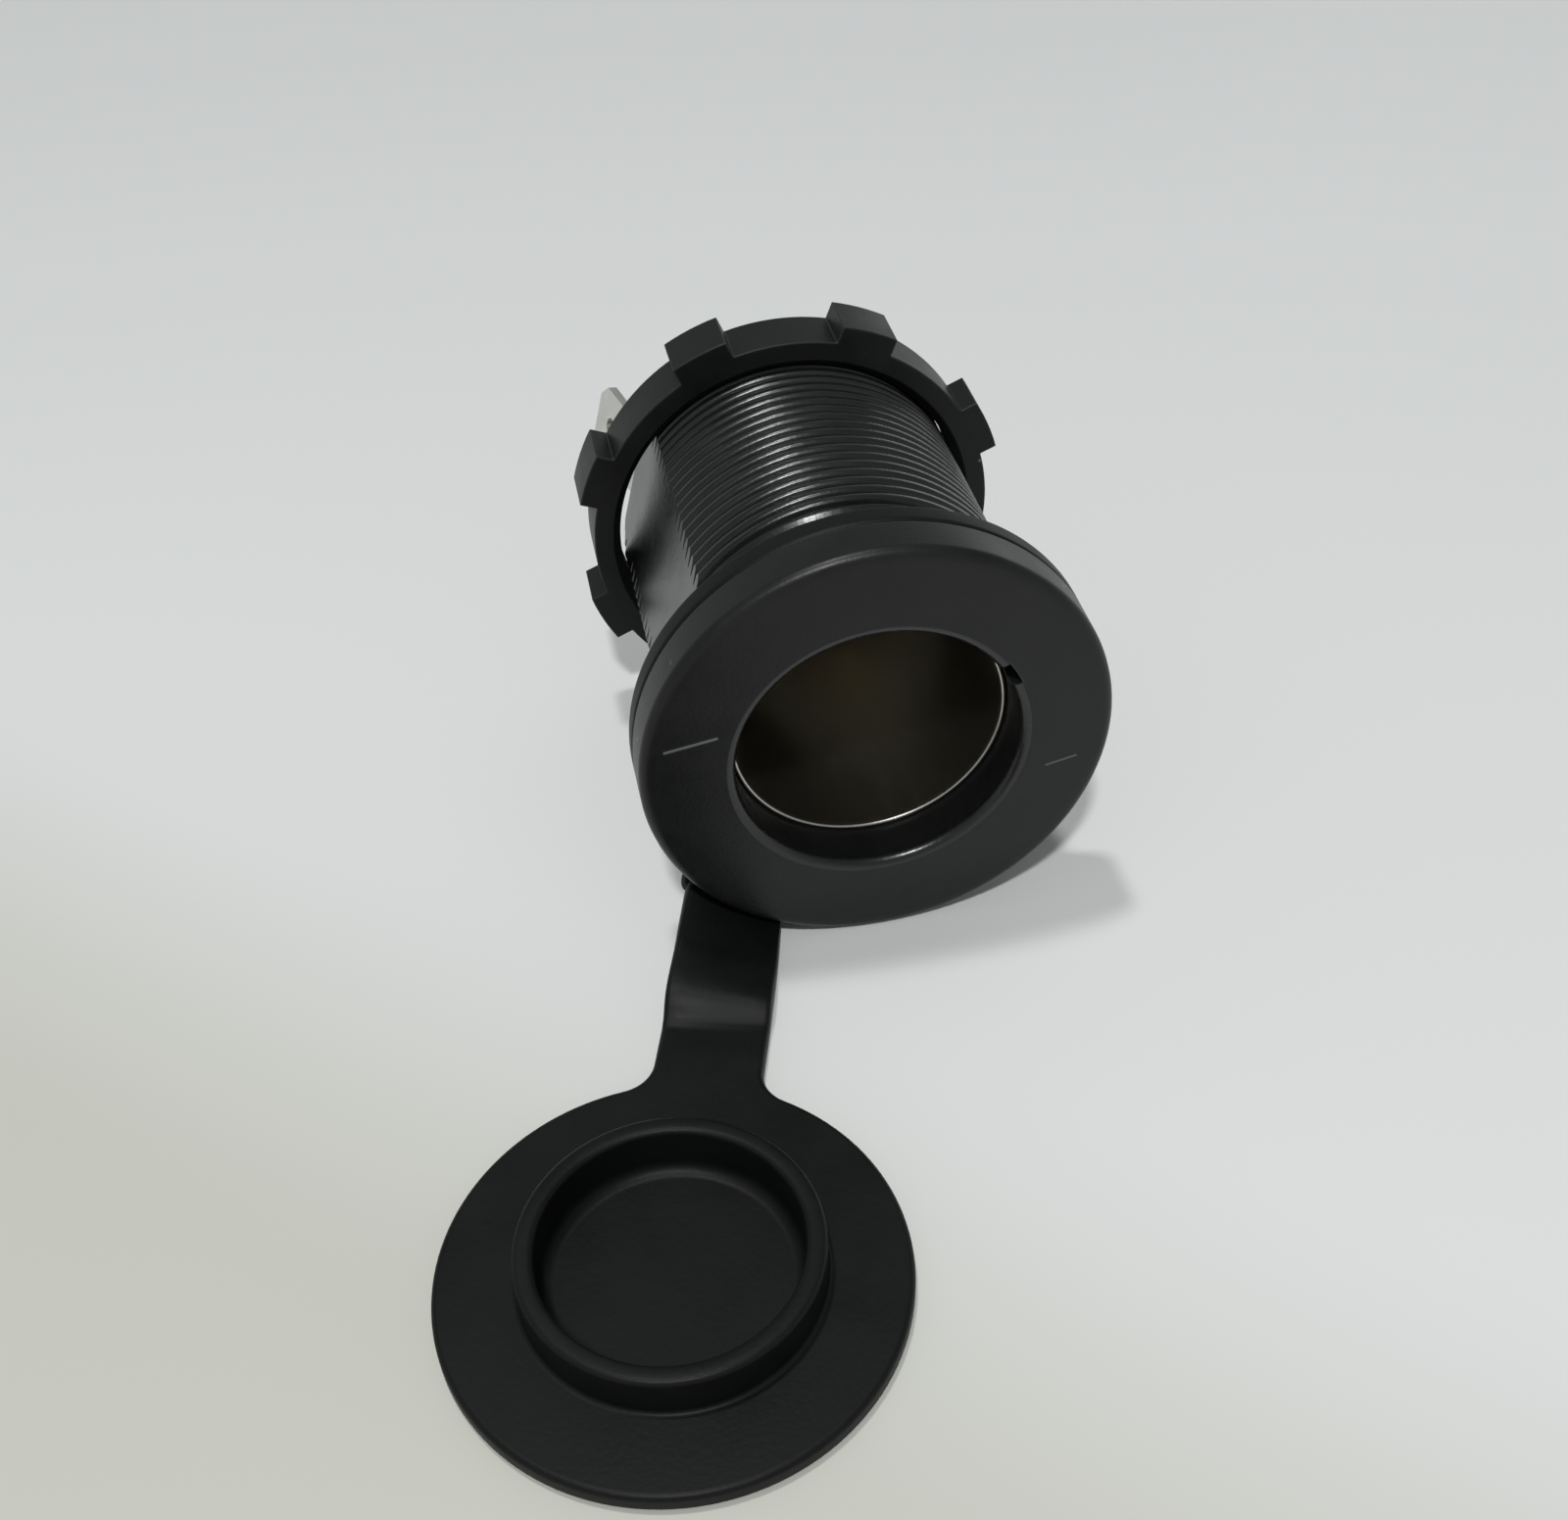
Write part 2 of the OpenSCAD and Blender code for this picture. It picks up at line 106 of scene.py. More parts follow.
table_z, table_r = -18.65, 3000
painted_shade_start, painted_shade_turn, painted_shade_scale = 1.28, math.radians(-49.5), 23.3
laminate, tree, shader, place = new_material("laminate_table_top", Roughness=0.5, Specular_IOR_Level=0.3)
corner = {"Location": (painted_shade_start, 0, 0), "Rotation": (0, 0, painted_shade_turn), "Scale": (painted_shade_scale,) * 3}
# Painted shade: a gradient darkens and warms the table towards its near left corner.
painted_shade_place = add_node(tree, "ShaderNodeMapping", corner, {"Vector": place}).outputs["Vector"]
painted_shade_fade = add_node(tree, "ShaderNodeTexGradient", {"gradient_type": "EASING"}, {"Vector": painted_shade_place}).outputs["Fac"]
stops = [(0.0, "#c4c5bc"), (1.0, "#dbdddc")]
painted_shade_tint = add_node(tree, "ShaderNodeValToRGB", {"stops": stops}, {"Fac": painted_shade_fade})
tree.links.new(painted_shade_tint.outputs["Color"], shader.inputs["Base Color"])
bm = bmesh.new()
table_at = Matrix.Translation((0, 0, table_z / 1000))
bmesh.ops.create_circle(bm, cap_ends=True, radius=table_r / 1000, segments=96, matrix=table_at)
table_mesh = bpy.data.meshes.new("table_top")
bm.to_mesh(table_mesh)
bm.free()
table_mesh.materials.append(laminate)
table = bpy.data.objects.new("table_top", table_mesh)
bpy.context.collection.objects.link(table)


# Light: a small lamp over the photographer's shoulder and one on the ceiling that
# draw crisp edges and shadows, a low window far to the right, and a dim room that
# is brighter near its floor. A colour renders about as it is written.
def lamp(name, at, width, height, watts):
    """A rectangular lamp that faces the socket."""
    data = bpy.data.lights.new(name, "AREA")
    data.shape = "RECTANGLE"
    data.size = width
    data.size_y = height
    data.energy = watts
    obj = bpy.data.objects.new(name, data)
    aim = Vector(at).to_track_quat("Z", "Y").to_matrix().to_4x4()
    obj.matrix_world = Matrix.Translation(at) @ aim
    bpy.context.collection.objects.link(obj)


lamp("shoulder_lamp", at=(-0.12, -0.43, 0.69), width=0.05, height=0.05, watts=3.6)
lamp("ceiling_lamp", at=(-0.13, 0.15, 1.2), width=0.1, height=0.1, watts=4.6)
lamp("low_window", at=(0.84, 0.88, 0.12), width=0.9, height=0.18, watts=0.62)
world = bpy.data.worlds.new("room")
world.use_nodes = True
tree = world.node_tree
room = tree.nodes["Background"]
room.inputs["Color"].default_value = linear("#e9ecee")
way = add_node(tree, "ShaderNodeTexCoord").outputs["Generated"]
upwards = add_node(tree, "ShaderNodeSeparateXYZ", {}, {"Vector": way}).outputs["Z"]
walls = {"From Min": 0.1, "From Max": 0.6, "To Min": 0.6, "To Max": 0.26}
level = add_node(tree, "ShaderNodeMapRange", walls, {"Value": upwards})
tree.links.new(level.outputs["Result"], room.inputs["Strength"])
bpy.context.scene.world = world


# Housing: one moulding in black glass-filled nylon, a flange with a mouth in front
# and a barrel with two flats behind. The mould gave it a fine thread, a keyway in
# the mouth and two index ribs on the face, and plugs have polished the mouth's edge.
def speckled(tree, place, colour, spacing_mm, speck):
    """A colour with sparse pale specks, drawn coarser than real ones so that they show."""
    cells = add_node(tree, "ShaderNodeTexVoronoi", {"Scale": 1000 / spacing_mm}, {"Vector": place})
    few = {"From Min": 0.66, "From Max": 0.68}
    chosen = add_node(tree, "ShaderNodeMapRange", few, {"Value": cells.outputs["Color"]})
    dot = {"From Min": 0.035, "From Max": 0.05, "To Max": 0.0}
    links = {"Value": cells.outputs["Distance"], "To Min": chosen.outputs["Result"]}
    mask = add_node(tree, "ShaderNodeMapRange", dot, links)
    links = {0: mask.outputs["Result"], 6: colour}
    return add_node(tree, "ShaderNodeMix", {"data_type": "RGBA", 7: linear(speck)}, links).outputs[2]


def moulded_nylon(name, grain_mm, rubbed, smooth, dull, shine=0.3):
    """Black nylon, injection moulded: satin, with a grain from the mould that is
    drawn coarser than real so that it shows, a little cloudiness in its gloss, and
    edges that handling has rubbed paler. Its black is deep, so that the sheen and
    not the colour draws the shape."""
    material, tree, shader, place = new_material(name, IOR=1.53, Specular_IOR_Level=shine)
    cloud_mm, edge_mm, grain_depth_mm = 6, 0.3, 0.04
    wide = {"Scale": 1000 / cloud_mm, "Detail": 3.0, "Roughness": 0.6}
    cloud = add_node(tree, "ShaderNodeTexNoise", wide, {"Vector": place}).outputs["Fac"]
    fine = {"Scale": 1000 / grain_mm, "Detail": 2.0, "Roughness": 0.55}
    grain = add_node(tree, "ShaderNodeTexNoise", fine, {"Vector": place}).outputs["Fac"]
    stops = [(0.3, "#0e0f0f"), (0.75, "#171818")]
    tone = add_node(tree, "ShaderNodeValToRGB", {"stops": stops}, {"Fac": cloud}).outputs["Color"]
    soft = {"samples": 6, "Radius": edge_mm / 1000}
    softened = add_node(tree, "ShaderNodeBevel", soft).outputs["Normal"]
    facing = add_node(tree, "ShaderNodeNewGeometry").outputs["Normal"]
    links = {0: softened, 1: facing}
    corners = add_node(tree, "ShaderNodeVectorMath", {"operation": "DOT_PRODUCT"}, links).outputs["Value"]
    wear = {"From Min": 0.985, "From Max": 0.85, "To Max": rubbed}
    worn = add_node(tree, "ShaderNodeMapRange", wear, {"Value": corners}).outputs["Result"]
    edge = {"data_type": "RGBA", 7: linear("#474a4a")}
    tone = add_node(tree, "ShaderNodeMix", edge, {0: worn, 6: tone}).outputs[2]
    tone = speckled(tree, place, tone, spacing_mm=3.5, speck="#6f7272")
    tree.links.new(tone, shader.inputs["Base Color"])
    sheen = {"From Min": 0.3, "From Max": 0.75, "To Min": smooth, "To Max": dull}
    gloss = add_node(tree, "ShaderNodeMapRange", sheen, {"Value": cloud})
    tree.links.new(gloss.outputs["Result"], shader.inputs["Roughness"])
    relief = {"Strength": 0.35, "Distance": grain_depth_mm / 1000}
    bump = add_node(tree, "ShaderNodeBump", relief, {"Height": grain})
    tree.links.new(bump.outputs["Normal"], shader.inputs["Normal"])
    return material


def wire(bm, points, closed, turn=0):
    """An outline of [radius, y] points in millimetres, at an angle round the axis."""
    c, s = math.cos(math.radians(turn)), math.sin(math.radians(turn))
    verts = [bm.verts.new((r * c / 1000, y / 1000, r * s / 1000)) for r, y in points]
    after = verts[1:] + verts[:1] if closed else verts[1:]
    for pair in zip(verts, after):
        bm.edges.new(pair)
    return verts


def round_corners(bm, verts, radius, segments=4):
    """Rounds corners of an outline before it is spun."""
    bmesh.ops.bevel(bm, geom=verts, offset=radius / 1000, segments=segments, profile=0.5,
                    affect="VERTICES", material=-1)


def everything(bm):
    return bm.verts[:] + bm.edges[:] + bm.faces[:]


def only_verts(geometry):
    return [g for g in geometry if isinstance(g, bmesh.types.BMVert)]


def joined(bm, other):
    """Adds a second bmesh's faces to the first, and frees it."""
    made = bpy.data.meshes.new("joined")
    other.to_mesh(made)
    other.free()
    bm.from_mesh(made)
    bpy.data.meshes.remove(made)


def new_piece(bm, name, materials, sharp):
    """Makes a finished mesh an object, smooth but for corners past an angle."""
    mesh = bpy.data.meshes.new(name)
    bm.to_mesh(mesh)
    bm.free()
    mesh.polygons.foreach_set("use_smooth", [True] * len(mesh.polygons))
    mesh.set_sharp_from_angle(angle=math.radians(sharp))
    for material in materials:
        mesh.materials.append(material)
    piece = bpy.data.objects.new(name, mesh)
    bpy.context.collection.objects.link(piece)
    return piece


def finish_piece(bm, name, materials, body, replaced, rounding=0):
    """Turns a finished mesh into a piece that rides on a body of the frame. Rounding
    softens its corners, and the flats are shaded flat beside them."""
    bmesh.ops.remove_doubles(bm, verts=bm.verts, dist=1e-6)
    bmesh.ops.recalc_face_normals(bm, faces=bm.faces)
    piece = new_piece(bm, name, materials, sharp=35)
    if rounding:
        soften = piece.modifiers.new("moulded_edges", "BEVEL")
        soften.width = rounding / 1000
        soften.segments = 3
        soften.limit_method = "ANGLE"
        soften.angle_limit = math.radians(40)
    flats = piece.modifiers.new("true_flats", "WEIGHTED_NORMAL")
    flats.keep_sharp = True
    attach(piece, body)
    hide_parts(replaced)
    return piece


nylon = moulded_nylon("glass_filled_nylon_moulded", grain_mm=0.35, rubbed=0.5, smooth=0.34, dull=0.46)
nylon_barrel = moulded_nylon("glass_filled_nylon_barrel", grain_mm=0.5, rubbed=0.1,
                             smooth=0.22, dull=0.3, shine=0.55)
nylon_index_painted_highlight = moulded_nylon("glass_filled_nylon_index_rubbed_and_painted_highlight", grain_mm=0.2, rubbed=1.0,
                            smooth=0.4, dull=0.5)
# The index ribs get a flat pale grey: partly rubbed wear, and partly a painted highlight, the thin bright
# line that the ribs catch.
index_painted_highlight_tone = nylon_index_painted_highlight.node_tree.nodes["Principled BSDF"].inputs["Base Color"]
nylon_index_painted_highlight.node_tree.links.remove(index_painted_highlight_tone.links[0])
index_painted_highlight_tone.default_value = linear("#5e6160")
nylon_mouth = moulded_nylon("glass_filled_nylon_polished_mouth", grain_mm=0.35, rubbed=0.0,
                            smooth=0.24, dull=0.3, shine=0.5)
housing_materials = [nylon, nylon_barrel, nylon_index_painted_highlight, nylon_mouth]
barrel_slot, index_slot, mouth_slot = 1, 2, 3

axis = Vector((0, -1, 0))
flange_r, flange_edge, back_edge, face_y, gasket_y = 18.65, 0.8, 0.3, -6.0, -2.1
bore_r, mouth_edge, sleeve_y, sleeve_end = 11.2, 0.8, -2.0, 30.4
keyway_r, keyway_w, keyway_turn = 12.1, 2.3, 29
thread_r, root_r, pitch, thread_start, thread_end = 15.3, 14.7, 1.25, 5.2, 32.0
barrel_end, flat_depth, flat_turns = 33.0, 1.65, (165, 345)

# The flange is two spun outlines: the plain one, and the one in the keyway. The
# face has two more points, which keep its shading flat up to its rounded edges.
land_in, land_out = keyway_r + 0.6, flange_r - 1.3
keyway_half = math.degrees(math.asin(keyway_w / 2 / keyway_r))
flange = bmesh.new()
rim = [(flange_r, face_y), (flange_r, gasket_y), (thread_r, gasket_y), (thread_r, 0), (bore_r, 0)]
face = [(keyway_r, face_y), (land_in, face_y), (land_out, face_y)]
plain = rim + [(bore_r, sleeve_y), (bore_r, face_y)] + face
keyed = rim + [(bore_r, sleeve_y), (keyway_r, sleeve_y)] + face
mouth_corner = plain.index((bore_r, face_y))
key_start, key_end = keyway_turn - keyway_half, keyway_turn + keyway_half
flange_step = 1.9
for outline, start, end in ((plain, key_end, key_start + 360), (keyed, key_start, key_end)):
    section = bmesh.new()
    verts = wire(section, outline, closed=True, turn=start)
    round_corners(section, verts[:1], flange_edge)
    round_corners(section, verts[1:2], back_edge)
    if outline is plain:
        round_corners(section, [verts[mouth_corner]], mouth_edge, segments=6)
    bmesh.ops.spin(section, geom=section.verts[:] + section.edges[:], axis=axis,
                   angle=math.radians(end - start), steps=round((end - start) / flange_step))
    joined(flange, section)
bmesh.ops.remove_doubles(flange, verts=flange.verts, dist=1e-5)
bmesh.ops.holes_fill(flange, edges=[e for e in flange.edges if e.is_boundary])
bmesh.ops.recalc_face_normals(flange, faces=flange.faces)
for f in flange.faces:
    middle = f.calc_center_median() * 1000
    if middle.y < face_y + mouth_edge and middle.xz.length < bore_r + mouth_edge:
        f.material_index = mouth_slot

# The two index ribs lie on opposite sides of the mouth, and are unequal.
rib_h, rib_edge = 0.12, 0.04
index_ribs = bmesh.new()
for x, z, long, wide, turn in ((-14.54, 3.9, 4.2, 0.22, 8.4), (14.54, -3.56, 2.6, 0.12, 11.9)):
    rib_at = Matrix.Translation((x / 1000, face_y / 1000, z / 1000))
    rib_at = rib_at @ Matrix.Rotation(math.radians(-turn), 4, "Y")
    size = Matrix.Diagonal((long / 1000, rib_h / 1000, wide / 1000, 1))
    rib = bmesh.ops.create_cube(index_ribs, size=1, matrix=rib_at @ size)["verts"]
    bmesh.ops.bevel(index_ribs, geom=list({e for v in rib for e in v.link_edges}),
                    offset=rib_edge / 1000, segments=2, profile=0.5, affect="EDGES", material=-1)
for f in index_ribs.faces:
    f.material_index = index_slot

# The thread is one turn of its ridge, repeated. It is wound from two turns early to
# two turns late and cut off square, and the ridge sinks away over its last turn.
turns_early = 2
turns = round((thread_end - thread_start) / pitch) + 2 * turns_early
barrel = bmesh.new()
ridge = [(root_r, 0), (14.73, 0.12), (15.1, 0.28), (15.2, 0.35), (15.27, 0.45), (thread_r, 0.57)]
ridge += [(thread_r, 0.8), (15.27, 0.92), (15.2, 1.0), (14.73, 1.18), (root_r, pitch)]
wire(barrel, [(r, y + thread_start - turns_early * pitch) for r, y in ridge], closed=False)
steps = 120
bmesh.ops.spin(barrel, geom=barrel.verts[:] + barrel.edges[:], axis=-axis, angle=math.tau, steps=steps,
               dvec=-axis * pitch / 1000 / steps)
one_turn = everything(barrel)
for k in range(1, turns):
    copy = bmesh.ops.duplicate(barrel, geom=one_turn)["geom"]
    bmesh.ops.translate(barrel, verts=only_verts(copy), vec=(0, k * pitch / 1000, 0))
bmesh.ops.remove_doubles(barrel, verts=barrel.verts, dist=1e-5)
for y, side in ((thread_start, -1), (thread_end, 1)):
    bmesh.ops.bisect_plane(barrel, geom=everything(barrel), plane_co=(0, y / 1000, 0),
                           plane_no=(0, side, 0), clear_outer=True)
for v in barrel.verts:
    y = v.co.y * 1000
    grown = min(1, (y - thread_start) / pitch, (thread_end - y) / pitch)
    r = math.hypot(v.co.x, v.co.z) * 1000
    wanted = root_r + (r - root_r) * max(0, grown)
    v.co.x *= wanted / r
    v.co.z *= wanted / r


def ring_on(bm, edges, radius, y):
    """Carries an open end of a turned shape on to a new radius and place."""
    made = bmesh.ops.extrude_edge_only(bm, edges=edges)["geom"]
    for v in only_verts(made):
        r = math.hypot(v.co.x, v.co.z) * 1000
        v.co = (v.co.x * radius / r, y / 1000, v.co.z * radius / r)
    return [g for g in made if isinstance(g, bmesh.types.BMEdge)]


def closed_end(bm, start, profile):
    """Carries the open end at a place on along a profile, and closes it."""
    end = [e for e in bm.edges if e.is_boundary and all(abs(v.co.y * 1000 - start) < 1e-3 for v in e.verts)]
    for radius, y in profile:
        end = ring_on(bm, end, radius, y)
    bmesh.ops.holes_fill(bm, edges=end)


# A relief and a plain collar lie before the thread, and a bevelled lead-in behind it.
collar = ((root_r, 4.45), (14.75, 4.3), (15.25, 4.0), (thread_r, 3.85), (thread_r, 0))
lead_in = ((root_r, 32.2), (14.66, 32.35), (14.45, 32.9), (14.3, barrel_end))
closed_end(barrel, thread_start, collar)
closed_end(barrel, thread_end, lead_in)
for turn in flat_turns:
    away = Vector((math.cos(math.radians(turn)), 0, math.sin(math.radians(turn))))
    bmesh.ops.bisect_plane(barrel, geom=everything(barrel), plane_co=away * (thread_r - flat_depth) / 1000,
                           plane_no=away, clear_outer=True)
    bmesh.ops.holes_fill(barrel, edges=[e for e in barrel.edges if e.is_boundary])
front = [f for f in barrel.faces if all(abs(v.co.y) < 1e-7 for v in f.verts)]
bmesh.ops.delete(barrel, geom=front, context="FACES_ONLY")
upright = Matrix.Rotation(math.pi / 2, 4, "X")
bore = bmesh.ops.create_circle(barrel, radius=bore_r / 1000, segments=180, matrix=upright)
bore_edges = list({e for v in bore["verts"] for e in v.link_edges})
loose = [e for e in barrel.edges if e.is_boundary or e.is_wire]
bmesh.ops.triangle_fill(barrel, edges=loose, use_beauty=True)
bmesh.ops.holes_fill(barrel, edges=ring_on(barrel, bore_edges, bore_r, sleeve_end))
bmesh.ops.recalc_face_normals(barrel, faces=barrel.faces)
for f in barrel.faces:
    f.material_index = barrel_slot
joined(barrel, flange)
joined(barrel, index_ribs)
housing = finish_piece(barrel, "housing_moulding", housing_materials, "socket", "housing")

# Ring nut: the same nylon, eight square lugs for a spanner on a plain ring. The
# nut turns on the barrel's thread and clamps the panel against the gasket.
nut_r, nut_bore, nut_root, nut_front, nut_back = 17.8, 15.42, 15.9, 26.8, 31.5
front_bevel, back_bevel, nut_edge = 0.7, 0.4, 0.22
lug_r, lug_w, lug_n = 19.31, 5.0, 8
groove_n, groove_first = 3, 0.85
groove = ((nut_bore, 0), (nut_root, 0.3), (nut_root, 0.5), (nut_bore, 0.8))
lug_step = 360 / lug_n
first_lug = -lug_step / 2
lug_half = math.degrees(math.asin(lug_w / 2 / nut_r))
bm = bmesh.new()
grooves = [(nut_bore, nut_front + front_bevel)]
for k in range(groove_n):
    grooves += [(r, nut_front + groove_first + k * pitch + y) for r, y in groove]
ring = [(nut_bore + front_bevel, nut_front), (nut_r, nut_front), (nut_r, nut_back)]
ring += [(nut_bore + back_bevel, nut_back), (nut_bore, nut_back - back_bevel)] + grooves[::-1]
wire(bm, ring, closed=True, turn=first_lug - lug_half)
bmesh.ops.spin(bm, geom=bm.verts[:] + bm.edges[:], axis=axis, angle=math.radians(2 * lug_half), steps=6)
ahead = first_lug + lug_half
at_end = [v for v in bm.verts if abs(math.degrees(math.atan2(v.co.z, v.co.x)) - ahead) < 0.01]
end_edges = [e for e in bm.edges if all(v in at_end for v in e.verts)]
bmesh.ops.spin(bm, geom=end_edges + at_end, axis=axis, angle=math.radians(lug_step - 2 * lug_half), steps=12)
eighth = everything(bm)
for k in range(1, lug_n):
    copy = bmesh.ops.duplicate(bm, geom=eighth)["geom"]
    turned_by = Matrix.Rotation(math.radians(lug_step * k), 3, "Y")
    bmesh.ops.rotate(bm, verts=only_verts(copy), matrix=turned_by)
bmesh.ops.remove_doubles(bm, verts=bm.verts, dist=1e-5)
bmesh.ops.recalc_face_normals(bm, faces=bm.faces)
lugs = []
for f in bm.faces:
    middle = f.calc_center_median()
    off = (math.degrees(math.atan2(middle.z, middle.x)) - first_lug + lug_step / 2) % lug_step - lug_step / 2
    if abs(middle.xz.length * 1000 - nut_r) < 0.1 and abs(f.normal.y) < 0.1 and abs(off) < lug_half:
        lugs.append(f)
raised = bmesh.ops.extrude_face_region(bm, geom=lugs)["geom"]
bmesh.ops.delete(bm, geom=lugs, context="FACES_ONLY")
for v in only_verts(raised):
    at = math.degrees(math.atan2(v.co.z, v.co.x))
    middle = math.radians(round((at - first_lug) / lug_step) * lug_step + first_lug)
    across = v.co.z * math.cos(middle) - v.co.x * math.sin(middle)
    out = math.sqrt((lug_r / 1000) ** 2 - across ** 2)
    v.co.x = out * math.cos(middle) - across * math.sin(middle)
    v.co.z = out * math.sin(middle) + across * math.cos(middle)
nut_nylon = moulded_nylon("glass_filled_nylon_nut", grain_mm=0.3, rubbed=0.7,
                          smooth=0.38, dull=0.5, shine=0.22)
nut = finish_piece(bm, "castellated_nut", [nut_nylon], "nut", "ring_nut", rounding=nut_edge)


# Gasket, strap and cap: one moulding in black rubber. The gasket ring sits
# behind the flange, and the strap grows out of a short tab on its edge.
def moulded_rubber(name):
    """Black nitrile rubber, moulded: duller than the nylon, with a soft sheen, a
    faint bloom and the stipple that lets it leave the mould, drawn coarser than
    real so that it shows."""
    material, tree, shader, place = new_material(name, IOR=1.5, Specular_IOR_Level=0.17)
    bloom_mm, stipple_mm, stipple_depth_mm = 9, 0.45, 0.05
    wide = {"Scale": 1000 / bloom_mm, "Detail": 4.0, "Roughness": 0.6}
    bloom = add_node(tree, "ShaderNodeTexNoise", wide, {"Vector": place}).outputs["Fac"]
    fine = {"Scale": 1000 / stipple_mm, "Detail": 2.0}
    stipple = add_node(tree, "ShaderNodeTexNoise", fine, {"Vector": place}).outputs["Fac"]
    stops = [(0.3, "#0b0c0c"), (0.8, "#131414")]
    tone = add_node(tree, "ShaderNodeValToRGB", {"stops": stops}, {"Fac": bloom}).outputs["Color"]
    tone = speckled(tree, place, tone, spacing_mm=4.5, speck="#5d605f")
    tree.links.new(tone, shader.inputs["Base Color"])
    sheen = {"From Min": 0.3, "From Max": 0.75, "To Min": 0.42, "To Max": 0.56}
    gloss = add_node(tree, "ShaderNodeMapRange", sheen, {"Value": bloom})
    tree.links.new(gloss.outputs["Result"], shader.inputs["Roughness"])
    relief = {"Strength": 0.3, "Distance": stipple_depth_mm / 1000}
    bump = add_node(tree, "ShaderNodeBump", relief, {"Height": stipple})
    tree.links.new(bump.outputs["Normal"], shader.inputs["Normal"])
    return material


def turned(bm, points, rounded):
    """Spins an outline of [radius, y] points round the socket's axis. Rounded
    gives a corner's place in the outline and its radius."""
    verts = wire(bm, points, closed=True)
    for corner, radius in rounded:
        round_corners(bm, [verts[corner]], radius)
    bmesh.ops.spin(bm, geom=bm.verts[:] + bm.edges[:], axis=axis, angle=math.tau, steps=192, use_merge=True)
    bmesh.ops.remove_doubles(bm, verts=bm.verts, dist=1e-6)


rubber = moulded_rubber("nitrile_rubber_moulded")
gasket_bore, gasket_edge = 15.4, 0.45
bm = bmesh.new()
outline = [(gasket_bore, gasket_y), (flange_r, gasket_y), (flange_r, 0), (gasket_bore, 0)]
turned(bm, outline, [(1, gasket_edge), (2, gasket_edge)])
gasket = finish_piece(bm, "rubber_gasket", [rubber], "socket", "gasket_ring")

# Strap: it leaves the gasket's tab rolled on to its low edge, bends down to the
# table and untwists evenly as far as one fold, from where it lies flat to the cap.
# It is a flat bar with rolled edges, carried along its middle line.
strap_w, strap_t, strap_l, strap_edge = 8.4, 1.4, 20.16, 0.45
strap_turn, strap_swing = math.radians(37), math.radians(17.5)
cap_r, cap_t, neck_out = 16.7, 1.6, 2.2
tab_out, tab_fillet, bend_back = 0.8, 1.2, 15.6
root_way = Vector((-math.sin(strap_turn), 0, -math.cos(strap_turn)))
cap_way = Vector((-math.sin(strap_swing), -math.cos(strap_swing), 0))
root_at = root_way * (flange_r + tab_out) + Vector((0, gasket_y / 2, 0))
rim_at = Vector((root_way.x * flange_r, gasket_y / 2, table_z))
cap_at = rim_at + cap_way * (strap_l + cap_r)
neck_at = cap_at - cap_way * (cap_r + neck_out) + Vector((0, 0, strap_t / 2))
bend_at = neck_at - cap_way * bend_back

# Places along the strap: 0 is the tab, 1 below the flange and 2 the neck. One step
# is 10 mm inside the tab, and the tab's fillet fades over 4 mm for a step past it.
strap_start, strap_end, inside_tab, past_tab = -0.22, 2, 10, 4
fold_h, fold_up, fold_up_l, fold_down, fold_down_l = 0.8, 1.3, 0.32, 1.62, 0.13
roll_eased, untwist_end, untwist_l = 0.2, 1.8, 0.8
thicken_at, thicken_l = 1.7, 0.3
pull_down, pull_back = 1.2, 1.4


def ease(share):
    """A soft step from 0 to 1."""
    share = min(1, max(0, share))
    return share * share * (3 - 2 * share)


def strap_roll(t):
    """The strap's roll about its own line: that of its place on the round gasket,
    eased a little below the flange and let out evenly as far as the fold."""
    return strap_turn * (1 - roll_eased * ease(t)) * min(1, max(0, (untwist_end - t) / untwist_l))


def strap_point(t):
    """The strap's middle line: straight in the tab, then one curve that is pulled down
    and back on to the table, where the low edge stays but for the fold."""
    if t < 0:
        return root_at + root_way * t * inside_tab
    roll = strap_roll(max(1, t))
    rise = strap_w / 2 * math.sin(roll) - strap_t / 2 * (1 - math.cos(roll))
    rise += fold_h * ease((t - fold_up) / fold_up_l) * (1 - ease((t - fold_down) / fold_down_l))
    ahead = bend_at.lerp(neck_at, max(0, t - 1)) + Vector((0, 0, rise))
    if t >= 1:
        return ahead
    below, before = root_at + root_way * pull_down, ahead - cap_way * pull_back
    start, end = root_at * (1 - t) ** 3, ahead * t ** 3
    return start + below * 3 * t * (1 - t) ** 2 + before * 3 * t * t * (1 - t) + end


def strap_across(t):
    """The directions across the strap and along it."""
    turn, roll = strap_swing * ease(t), strap_roll(t)
    way = Vector((math.cos(turn) * math.cos(roll), -math.sin(turn) * math.cos(roll), -math.sin(roll)))
    along = (strap_point(t + 0.01) - strap_point(t - 0.01)).normalized()
    return (way - along * way.dot(along)).normalized(), along


bm = bmesh.new()
sides = ((-1, -1), (1, -1), (1, 1), (-1, 1))
corners = [bm.verts.new((x * strap_w / 2, y * strap_t / 2, 0)) for x, y in sides]
for pair in zip(corners, corners[1:] + corners[:1]):
    bm.edges.new(pair)
bmesh.ops.bevel(bm, geom=corners, offset=strap_edge, segments=4, profile=0.5, affect="VERTICES", material=-1)
flat_edges = [e for e in bm.edges if e.calc_length() > strap_t]
bmesh.ops.subdivide_edges(bm, edges=flat_edges, cuts=7)
steps = 120
bmesh.ops.spin(bm, geom=bm.verts[:] + bm.edges[:], axis=(0, 0, 1), angle=0, steps=steps,
               dvec=(0, 0, 1 / steps))
bmesh.ops.holes_fill(bm, edges=[e for e in bm.edges if e.is_boundary])
